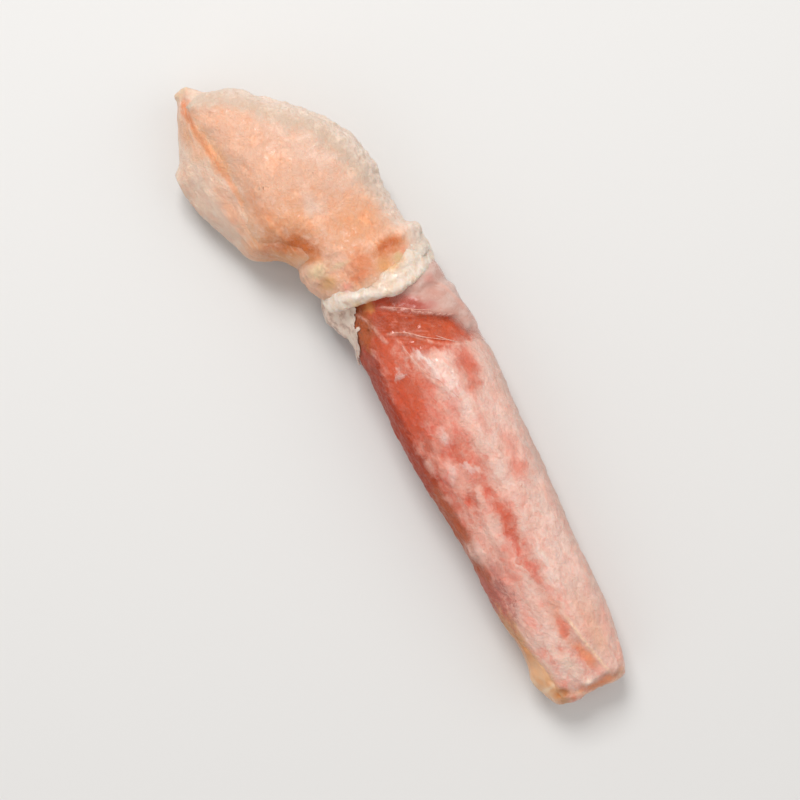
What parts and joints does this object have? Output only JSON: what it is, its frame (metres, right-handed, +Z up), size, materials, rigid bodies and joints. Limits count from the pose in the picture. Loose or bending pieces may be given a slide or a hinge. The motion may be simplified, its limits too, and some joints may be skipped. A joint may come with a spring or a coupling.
{
  "type": "snow crab leg portion",
  "caption": "Cooked snow crab leg portion, frozen: a shell-on base joint, bent at its pale rim and torn skin, with the peeled meat of the leg beyond it.",
  "frame": {"origin": "on the surface the portion lies on, under the middle of its box", "axes": "+X along the leg towards its tip, +Z up, +Y to the side that the shell-on joint bends away from"},
  "size_m": [0.1216, 0.0354, 0.0172],
  "materials": {
    "leg_meat": "moist cooked crab meat, red marbled over pinkish white, lightly frosted",
    "joint_meat": "pale, finely fibred crab flesh",
    "joint_shell": "thin orange and peach crab shell, cream at its cut edges, lightly frosted",
    "joint_membrane": "thin translucent pink skin",
    "collar_rim": "cream-white gristly lip of shell"
  },
  "bodies": {
    "root": {"leg_meat": "leg_meat", "joint_meat": "joint_meat", "joint_shell": "joint_shell", "joint_membrane": "joint_membrane", "collar_rim": "collar_rim"}
  },
  "joints": []
}
